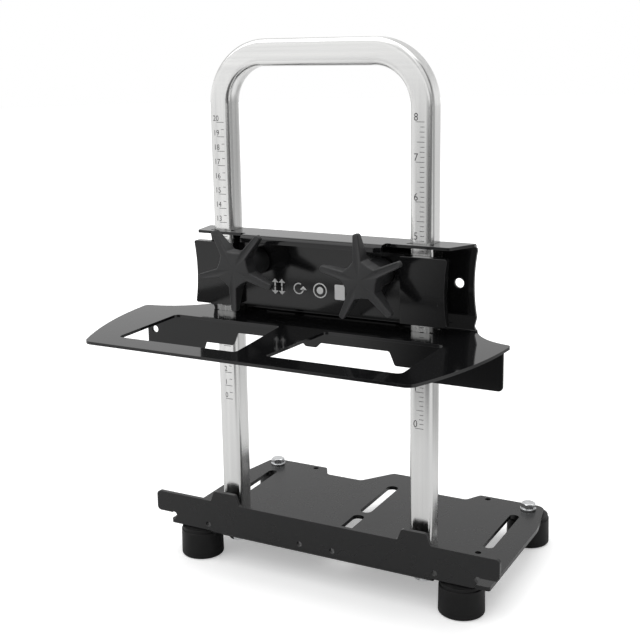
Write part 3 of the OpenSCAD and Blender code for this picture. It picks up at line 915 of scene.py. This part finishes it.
def addBolts(name):
    shape = boltShape
    thread, pitch, up = (boltSets[name][key] for key in ("thread", "pitch", "up"))
    headHeight = thread * shape["headHeight"]
    across = thread * shape["acrossCorners"] * math.cos(math.pi / 6)
    radius = thread / 2 - shape["inside"]
    bm = bmesh.new()
    for low, high in solidBoxes(nodes[name]):
        seat = high.z - headHeight if up > 0 else low.z + headHeight
        far = low.z if up > 0 else high.z
        centre = Vector(((low.x + high.x) / 2, (low.y + high.y) / 2, seat))
        addHexHead(bm, centre, (0, 0, up), across, headHeight)
        profile = [(0.0, -shape["sunk"]), (radius, -shape["sunk"])]
        profile += threadProfile(radius, shape["plain"], abs(far - seat), pitch)
        shank = bmesh.new()
        spinProfile(shank, profile, centre, (0, 0, -up), shape["segments"])
        addFrom(bm, shank)
    bmesh.ops.recalc_face_normals(bm, faces=bm.faces)
    smoothPiece(newPiece(name + "_turned", bm, name), shape["creaseFrom"])


washerShape = {"rim": 0.25 * mm, "inside": 0.01 * mm, "segments": 48, "creaseFrom": 30.0}
washerSets = {
    "foot_washers": {"axis": (0, 0, 1), "bore": 3.25 * mm},
    "leg_washers": {"axis": (0, 0, 1), "bore": 4.25 * mm},
    "knob_washer_left": {"axis": (0, 1, 0), "bore": 4.25 * mm},
    "knob_washer_right": {"axis": (0, 1, 0), "bore": 4.25 * mm},
}


def addWashers(name):
    axis, bore = Vector(washerSets[name]["axis"]), washerSets[name]["bore"]
    rim = washerShape["rim"]
    bm = bmesh.new()
    for low, high in solidBoxes(nodes[name]):
        thick = (high - low) @ axis
        radius = max(high - low) / 2 - washerShape["inside"]
        start = (low + high) / 2 - axis * thick / 2
        profile = [(bore, 0.0), (radius - rim, 0.0), (radius, rim), (radius, thick - rim)]
        profile += [(radius - rim, thick), (bore + rim, thick), (bore, thick - rim), (bore, 0.0)]
        part = bmesh.new()
        spinProfile(part, profile, start, axis, washerShape["segments"])
        addFrom(bm, part)
    smoothPiece(newPiece(name + "_turned", bm, name), washerShape["creaseFrom"])


clampBolt = {
    "thread": 8 * mm, "pitch": 1.25 * mm, "headHeight": 4 * mm, "dome": 2.6 * mm, "domeSteps": 8,
    "headInside": 0.02 * mm, "shankInside": 0.03 * mm, "plain": 3 * mm, "segments": 48,
    "creaseFrom": 35.0,
}


def addClampBolt(name):
    # a domed head behind the wall and a threaded shank that runs forward into the knob
    shape = clampBolt
    low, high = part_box(name)
    radius = (high.x - low.x) / 2 - shape["headInside"]
    centre = ((low.x + high.x) / 2, high.y, (low.z + high.z) / 2)
    ball = (radius ** 2 + shape["dome"] ** 2) / (2 * shape["dome"])
    profile = []
    for step in range(shape["domeSteps"] + 1):
        reach = radius * step / shape["domeSteps"]
        profile.append((reach, ball - math.sqrt(ball ** 2 - reach ** 2)))
    shank = shape["thread"] / 2 - shape["shankInside"]
    threadStart = shape["headHeight"] + shape["plain"]
    profile += [(radius, shape["headHeight"]), (shank, shape["headHeight"])]
    profile += threadProfile(shank, threadStart, high.y - low.y, shape["pitch"])
    bm = bmesh.new()
    spinProfile(bm, profile, centre, (0, -1, 0), shape["segments"])
    smoothPiece(newPiece(name + "_turned", bm, name), shape["creaseFrom"])


for name in boltSets:
    addBolts(name)
for name in washerSets:
    addWashers(name)
for name in ("clamp_bolt_left", "clamp_bolt_right"):
    addClampBolt(name)
print("fasteners made")

# Four plain marks printed on the clamp plate's dished middle

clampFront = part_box("clamp_plate")[0].y
markShape = {
    "line": 0.8 * mm, "proud": 0.03 * mm, "plane": 8.3 * mm, "size": 10.5 * mm,
    "height": 214 * mm, "arrowHead": 2.6 * mm, "shaftHalf": 0.7,
    "arrowGap": 5.4 * mm, "arrowSplit": 0.6 * mm,
    "turnRadius": 0.38, "turnFrom": 60, "turnTip": 3.2 * mm, "turnDrop": 1.2 * mm,
    "dot": 0.24, "blockHalf": 0.36, "blockCorner": 1 * mm, "cornerSteps": 5,
}
markPlaces = {
    "heightArrows": -32.0 * mm, "turnArrow": -16.0 * mm, "lockRing": 0.5 * mm,
    "plainBlock": 15.5 * mm,
}


def markPlace(x, z, proud):
    return Vector((x, clampFront + markShape["plane"] - proud, z))


def addRing(bm, x, z, radius, width, start=0.0, steps=36):
    # the ring runs from start, in degrees, over the top and round to the right
    for step in range(steps):
        first = math.radians(start + (360 - start) * step / steps)
        last = math.radians(start + (360 - start) * (step + 1) / steps)
        ends = ((radius - width, first), (radius, first), (radius, last), (radius - width, last))
        outline = [(x + r * math.cos(angle), z + r * math.sin(angle)) for r, angle in ends]
        addStrip(bm, outline, markPlace, markShape["proud"])


def addArrow(bm, x, z, length, up):
    half = markShape["line"] * markShape["shaftHalf"]
    head = markShape["arrowHead"]
    tip = z + up * length
    neck = tip - up * head
    shaft = [(x - half, z), (x + half, z), (x + half, neck), (x - half, neck)]
    point = [(x - head, neck), (x + head, neck), (x, tip)]
    for outline in (shaft, point):
        if up < 0:
            outline.reverse()
        addStrip(bm, outline, markPlace, markShape["proud"])


def addMarks():
    shape = markShape
    size, line, z = shape["size"], shape["line"], shape["height"]
    bm = bmesh.new()

    x = markPlaces["heightArrows"]
    for side in (-1, 1):
        for up in (1, -1):
            start = z + up * shape["arrowSplit"] / 2
            addArrow(bm, x + side * shape["arrowGap"] / 2, start, size / 2, up)

    x = markPlaces["turnArrow"]
    radius = size * shape["turnRadius"]
    addRing(bm, x, z, radius, line, shape["turnFrom"])
    addArrow(bm, x + radius - line / 2, z - shape["turnDrop"], shape["turnTip"], 1)

    x = markPlaces["lockRing"]
    addRing(bm, x, z, size / 2, line)
    addRing(bm, x, z, size * shape["dot"], size * shape["dot"])

    x = markPlaces["plainBlock"]
    half, corner = size * shape["blockHalf"], shape["blockCorner"]
    block = roundCorners([
        (x - half, z - size / 2, corner), (x + half, z - size / 2, corner),
        (x + half, z + size / 2, corner), (x - half, z + size / 2, corner),
    ], shape["cornerSteps"])
    addStrip(bm, block, markPlace, shape["proud"])
    bmesh.ops.recalc_face_normals(bm, faces=bm.faces)
    newPiece("clamp_marks", bm, "clamp_plate", "markInk", replace=False)


addMarks()
print("marks made")

# Pale studio: white all round for the camera, softer in the reflections

# brightness of the surroundings; the bands are heights of the direction looked in, from -1 to 1
studio = {
    "cameraWhite": 1.0, "horizon": 0.95, "middle": 0.62, "top": 0.85,
    "lowBand": (0.08, 0.3), "highBand": (0.3, 0.9),
    "leftGain": 1.1, "rightShade": 0.42, "screenEdge": (0.36, 0.55),
}


def addSurroundings():
    world = bpy.data.worlds.new("studio")
    world.use_nodes = True
    scene.world = world
    tree = world.node_tree
    background = tree.nodes["Background"]
    away = addNode(tree, "TexCoord").outputs["Generated"]
    parts = addNode(tree, "SeparateXYZ", {0: away})
    height = parts.outputs["Z"]
    low = rangeNode(tree, height, *studio["lowBand"], studio["horizon"], studio["middle"])
    rise = studio["top"] - studio["middle"]
    high = rangeNode(tree, height, *studio["highBand"], 0.0, rise)
    # a black screen stands to the right, and shades the sides of the legs
    side = rangeNode(
        tree, parts.outputs["X"], *studio["screenEdge"], studio["leftGain"], studio["rightShade"]
    )
    soft = mathNode(tree, "MULTIPLY", mathNode(tree, "ADD", low, high), side)
    seen = addNode(tree, "LightPath").outputs["Is Camera Ray"]
    strength = addNode(tree, "Mix", {0: seen, 2: soft, 3: studio["cameraWhite"]}).outputs[0]
    tree.links.new(strength, background.inputs["Strength"])
    background.inputs["Color"].default_value = (1, 1, 1, 1)


# an edge is the distance sideways over the distance ahead or behind, and a start is in metres
floorLook = {
    "radius": 6.0, "below": 0.2 * mm, "rough": 0.9,
    "white": 0.93, "seenInGloss": 0.72, "clothShade": 0.1,
    "frontEdge": (-0.42, -0.26), "frontStart": (0.35, 0.55),
    "rearEdge": (0.47, 0.56), "rearStart": (0.2, 0.4), "rearAmount": 0.6, "nearest": 0.05,
    "glow": 0.34, "farGlow": 0.3, "farGlossGlow": 0.24, "farStart": (0.5, 1.1),
}


def clothMask(tree, across, ahead, edge, start, amount):
    # a cloth on the floor whose left edge runs straight out from the object
    nearest = mathNode(tree, "MAXIMUM", ahead, floorLook["nearest"])
    slant = mathNode(tree, "DIVIDE", across, nearest)
    covered = rangeNode(tree, slant, *edge, 0.0, amount)
    return mathNode(tree, "MULTIPLY", covered, rangeNode(tree, ahead, *start, 0.0, 1.0))


def makeFloorFinish():
    look = floorLook
    material, tree, shader = newMaterial("paleFloor")
    rays = addNode(tree, "LightPath").outputs
    seen, glossy = rays["Is Camera Ray"], rays["Is Glossy Ray"]
    parts = addNode(tree, "SeparateXYZ", {0: objectPlace(tree)}).outputs
    # dark cloths, seen only in reflections: one in front, one behind to the right
    ahead = mathNode(tree, "MULTIPLY", parts["Y"], -1.0)
    front = clothMask(tree, parts["X"], ahead, look["frontEdge"], look["frontStart"], 1.0)
    rear = clothMask(
        tree, parts["X"], parts["Y"], look["rearEdge"], look["rearStart"], look["rearAmount"]
    )
    cloth = mathNode(tree, "MAXIMUM", front, rear)
    white, dull, shade = (
        (look[key], look[key], look[key], 1) for key in ("white", "seenInGloss", "clothShade")
    )
    dark = colourMix(tree, mathNode(tree, "MULTIPLY", cloth, glossy), dull, shade)
    tree.links.new(colourMix(tree, seen, dark, white), shader.inputs["Base Color"])
    shader.inputs["Roughness"].default_value = look["rough"]
    shader.inputs["Specular IOR Level"].default_value = 0.0
    shader.inputs["Emission Color"].default_value = (1, 1, 1, 1)
    # the floor glows for the camera, and more where it lies far from the lamps
    reach = addNode(tree, "VectorMath", {0: objectPlace(tree)}, operation="LENGTH")
    far = rangeNode(tree, reach.outputs["Value"], *look["farStart"], 0.0, 1.0)
    lift = mathNode(tree, "MULTIPLY_ADD", far, look["farGlow"])
    lift.node.inputs[2].default_value = look["glow"]
    uncovered = mathNode(tree, "SUBTRACT", 1.0, cloth)
    sheen = mathNode(tree, "MULTIPLY", far, uncovered)
    sheen = mathNode(tree, "MULTIPLY", sheen, look["farGlossGlow"])
    forCamera = mathNode(tree, "MULTIPLY", lift, seen)
    forGloss = mathNode(tree, "MULTIPLY", sheen, glossy)
    strength = mathNode(tree, "ADD", forCamera, forGloss)
    tree.links.new(strength, shader.inputs["Emission Strength"])
    return material


def addFloor():
    bm = bmesh.new()
    bmesh.ops.create_circle(bm, cap_ends=True, segments=96, radius=floorLook["radius"])
    mesh = bpy.data.meshes.new("floor")
    bm.to_mesh(mesh)
    bm.free()
    mesh.materials.append(makeFloorFinish())
    floor = bpy.data.objects.new("floor", mesh)
    floor.location.z = -floorLook["below"]
    scene.collection.objects.link(floor)


# square area lamps, all aimed at the middle of the object
lamps = {
    "keyLight": {"place": (-0.9, -0.9, 1.5), "size": 1.6, "power": 9.0},
    "fillLight": {"place": (1.1, -0.6, 1.3), "size": 1.6, "power": 4.0},
    "topLight": {"place": (0.1, 0.5, 1.9), "size": 1.8, "power": 9.0},
}
lampAim = Vector((0, 0, 0.15))


def addLamp(name):
    lamp = bpy.data.lights.new(name, "AREA")
    lamp.shape = "SQUARE"
    lamp.size = lamps[name]["size"]
    lamp.energy = lamps[name]["power"]
    holder = bpy.data.objects.new(name, lamp)
    holder.location = lamps[name]["place"]
    aim = lampAim - holder.location
    holder.rotation_euler = aim.to_track_quat("-Z", "Y").to_euler()
    scene.collection.objects.link(holder)


addCamera()
addSurroundings()
addFloor()
for name in lamps:
    addLamp(name)
scene.view_settings.view_transform = "Standard"
print("stage set")
